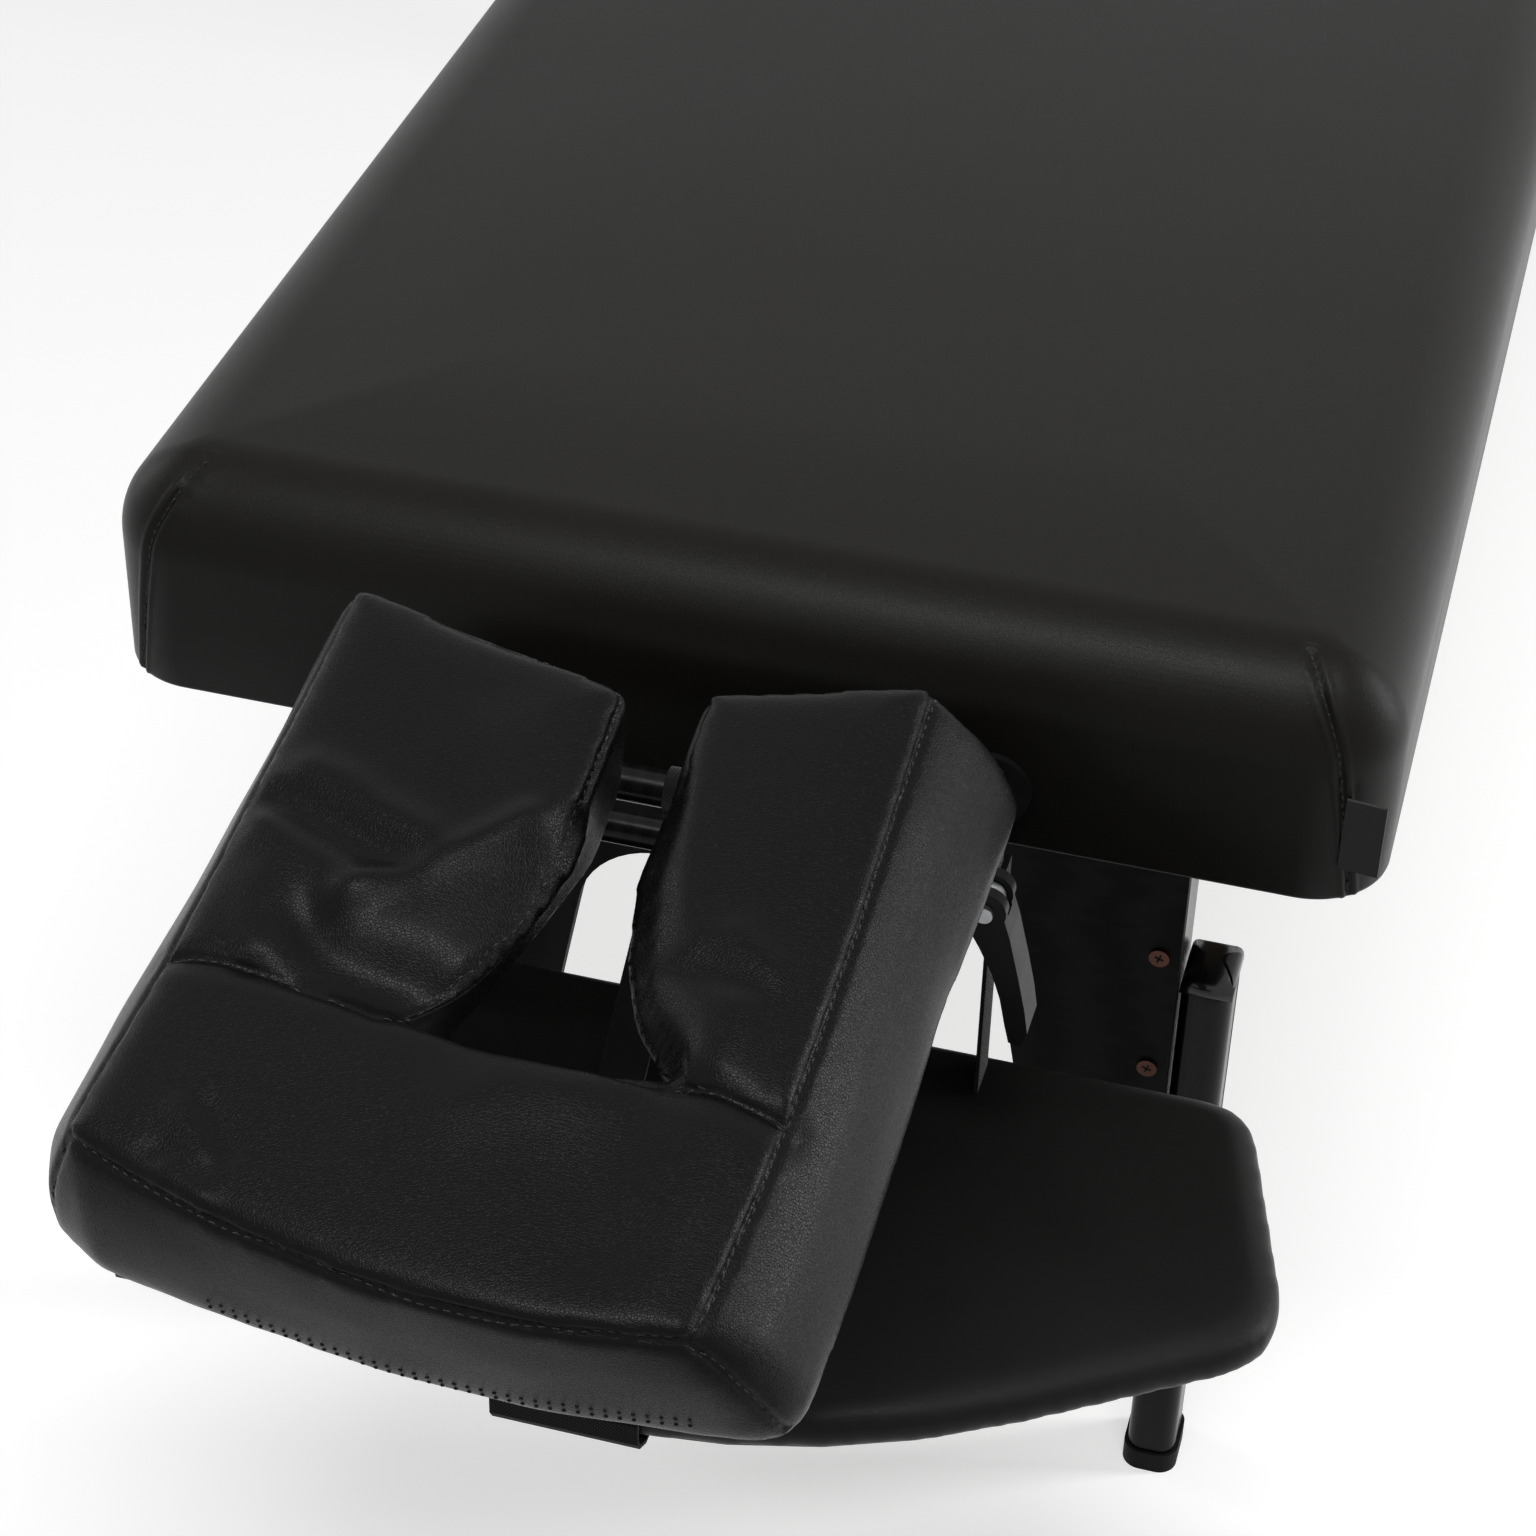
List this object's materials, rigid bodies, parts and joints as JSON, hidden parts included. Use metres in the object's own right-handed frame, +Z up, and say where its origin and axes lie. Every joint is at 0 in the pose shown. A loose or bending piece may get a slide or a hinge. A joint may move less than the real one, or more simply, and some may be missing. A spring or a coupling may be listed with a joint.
{
  "type": "folding massage table",
  "caption": "Folding padded table on adjustable wooden legs, with a tilting face cradle and a hanging padded arm shelf.",
  "frame": {"origin": "on the floor, under the middle of the box round the whole object", "axes": "+X to the side with the clamp lever, +Y from the face cradle to the foot end, +Z up"},
  "size_m": [0.635, 2.3226, 0.7468],
  "materials": {
    "vinyl": "soft upholstery vinyl, satin",
    "lacquer": "black lacquered hardwood, glossy",
    "laminate": "dark laminated plywood, matt",
    "birch": "plain plywood",
    "steel": "zinc-plated steel",
    "black_steel": "black powder coat",
    "copper": "copper-coloured screws",
    "soft_black": "matt black rubber",
    "plastic": "black moulded nylon",
    "webbing": "woven black webbing"
  },
  "bodies": {
    "head_half": {"head_cushion": "vinyl", "head_skirt": "vinyl", "head_deck": "birch", "head_side_rails": "lacquer", "head_cross_rails": "lacquer", "head_sockets": "black_steel", "head_leg_brackets": "steel", "head_pivot_pins": "steel", "head_hinge_leaves": "steel", "hinge_pins": "steel", "corner_tag": "webbing"},
    "foot_half": {"foot_cushion": "vinyl", "foot_skirt": "vinyl", "foot_deck": "birch", "foot_side_rails": "lacquer", "foot_cross_rails": "lacquer", "foot_sockets": "black_steel", "foot_leg_brackets": "steel", "foot_pivot_pins": "steel", "foot_hinge_leaves": "steel"},
    "head_leg_frame": {"head_upper_legs": "lacquer", "head_end_panel": "laminate", "head_leg_bar": "lacquer", "head_panel_screws": "copper", "head_guide_pins": "steel"},
    "foot_leg_frame": {"foot_upper_legs": "lacquer", "foot_end_panel": "laminate", "foot_leg_bar": "lacquer", "foot_panel_screws": "copper", "foot_guide_pins": "steel"},
    "head_leg_left": {"head_lower_leg_left": "lacquer", "head_foot_left": "soft_black"},
    "head_knob_left": {"head_knob_left": "plastic"},
    "head_leg_right": {"head_lower_leg_right": "lacquer", "head_foot_right": "soft_black"},
    "head_knob_right": {"head_knob_right": "plastic"},
    "foot_leg_left": {"foot_lower_leg_left": "lacquer", "foot_foot_left": "soft_black"},
    "foot_knob_left": {"foot_knob_left": "plastic"},
    "foot_leg_right": {"foot_lower_leg_right": "lacquer", "foot_foot_right": "soft_black"},
    "foot_knob_right": {"foot_knob_right": "plastic"},
    "cradle": {"cradle_posts": "black_steel", "cradle_tie_bar": "black_steel", "clamp_bolt": "steel", "clamp_washer": "steel", "hanging_straps": "webbing", "strap_buckles": "plastic", "front_strap": "webbing"},
    "lever": {"cam_lever": "plastic", "lever_pin": "steel"},
    "arms": {"cradle_arms": "black_steel", "spacer_tube": "black_steel", "platform_pins": "steel"},
    "face_rest": {"platform": "plastic", "hook_pad": "soft_black", "face_pillow": "vinyl"},
    "shelf": {"shelf_board": "lacquer", "shelf_pad": "vinyl"}
  },
  "joints": [
    {"name": "table_fold", "type": "hinge", "parent": "head_half", "child": "foot_half", "pos_m": [0, 0.23134, 0.5627], "axis": [-1, 0, 0], "range_deg": [0, 180]},
    {"name": "head_leg_fold", "type": "hinge", "parent": "head_half", "child": "head_leg_frame", "pos_m": [0, -0.52766, 0.599], "axis": [1, 0, 0], "range_deg": [0, 90]},
    {"name": "foot_leg_fold", "type": "hinge", "parent": "foot_half", "child": "foot_leg_frame", "pos_m": [0, 0.99034, 0.599], "axis": [-1, 0, 0], "range_deg": [0, 90]},
    {"name": "head_leg_left_slide", "type": "slide", "parent": "head_leg_frame", "child": "head_leg_left", "axis": [0, 0, -1], "range_m": [-0.07, 0.11]},
    {"name": "head_knob_left_turn", "type": "hinge", "parent": "head_leg_frame", "child": "head_knob_left", "pos_m": [-0.178, -0.52466, 0.255], "axis": [1, 0, 0], "continuous": true},
    {"name": "head_leg_right_slide", "type": "slide", "parent": "head_leg_frame", "child": "head_leg_right", "axis": [0, 0, -1], "range_m": [-0.07, 0.11]},
    {"name": "head_knob_right_turn", "type": "hinge", "parent": "head_leg_frame", "child": "head_knob_right", "pos_m": [0.178, -0.52466, 0.255], "axis": [-1, 0, 0], "continuous": true},
    {"name": "foot_leg_left_slide", "type": "slide", "parent": "foot_leg_frame", "child": "foot_leg_left", "axis": [0, 0, -1], "range_m": [-0.07, 0.11]},
    {"name": "foot_knob_left_turn", "type": "hinge", "parent": "foot_leg_frame", "child": "foot_knob_left", "pos_m": [-0.214, 0.98734, 0.255], "axis": [-1, 0, 0], "continuous": true},
    {"name": "foot_leg_right_slide", "type": "slide", "parent": "foot_leg_frame", "child": "foot_leg_right", "axis": [0, 0, -1], "range_m": [-0.07, 0.11]},
    {"name": "foot_knob_right_turn", "type": "hinge", "parent": "foot_leg_frame", "child": "foot_knob_right", "pos_m": [0.214, 0.98734, 0.255], "axis": [1, 0, 0], "continuous": true},
    {"name": "cradle_pull", "type": "slide", "parent": "head_half", "child": "cradle", "axis": [0, -1, 0], "range_m": [0, 0.07]},
    {"name": "cradle_lift", "type": "hinge", "parent": "cradle", "child": "arms", "pos_m": [0, -0.77466, 0.596], "axis": [-1, 0, 0], "range_deg": [-12, 25]},
    {"name": "face_rest_tilt", "type": "hinge", "parent": "arms", "child": "face_rest", "pos_m": [0, -0.87566, 0.647], "axis": [-1, 0, 0], "range_deg": [-20, 20]},
    {"name": "lever_throw", "type": "hinge", "parent": "cradle", "child": "lever", "pos_m": [0.149, -0.77466, 0.596], "axis": [0, -1, 0], "range_deg": [0, 95]},
    {"name": "shelf_raise", "type": "slide", "parent": "cradle", "child": "shelf", "axis": [0, 0, 1], "range_m": [0, 0.05], "deforming": ["hanging_straps", "front_strap"]}
  ],
  "couplings": [
    {"joint": "head_leg_fold", "follows": "table_fold", "ratio": 0.5},
    {"joint": "foot_leg_fold", "follows": "table_fold", "ratio": 0.5}
  ]
}
